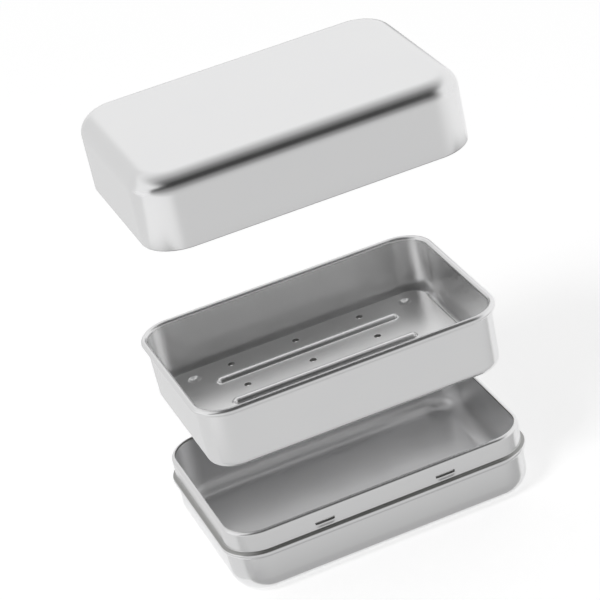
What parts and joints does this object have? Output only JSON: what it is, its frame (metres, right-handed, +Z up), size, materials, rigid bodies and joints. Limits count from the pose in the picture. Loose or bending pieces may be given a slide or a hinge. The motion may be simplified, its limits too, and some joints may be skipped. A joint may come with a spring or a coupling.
{
  "type": "travel soap box",
  "caption": "Travel soap box of drawn aluminium: a base with a stop bead, a hanging drain tray with ribs and drain holes, and a lid that slides over the neck.",
  "frame": {"origin": "middle of the base's underside, on the surface that it stands on", "axes": "+X along the length, +Y across the width, +Z up, the way the tray and the lid lift off"},
  "size_m": [0.1126, 0.0776, 0.1578],
  "materials": {
    "drawn_aluminium": "satin, as deep drawn"
  },
  "bodies": {
    "base": {"base": "drawn_aluminium"},
    "tray": {"drain_tray": "drawn_aluminium"},
    "lid": {"lid": "drawn_aluminium"}
  },
  "joints": [
    {"name": "tray_lift", "type": "slide", "parent": "base", "child": "tray", "axis": [0, 0, 1], "range_m": [-0.045, 0]},
    {"name": "lid_lift", "type": "slide", "parent": "tray", "child": "lid", "axis": [0, 0, 1], "range_m": [-0.07, 0]}
  ]
}
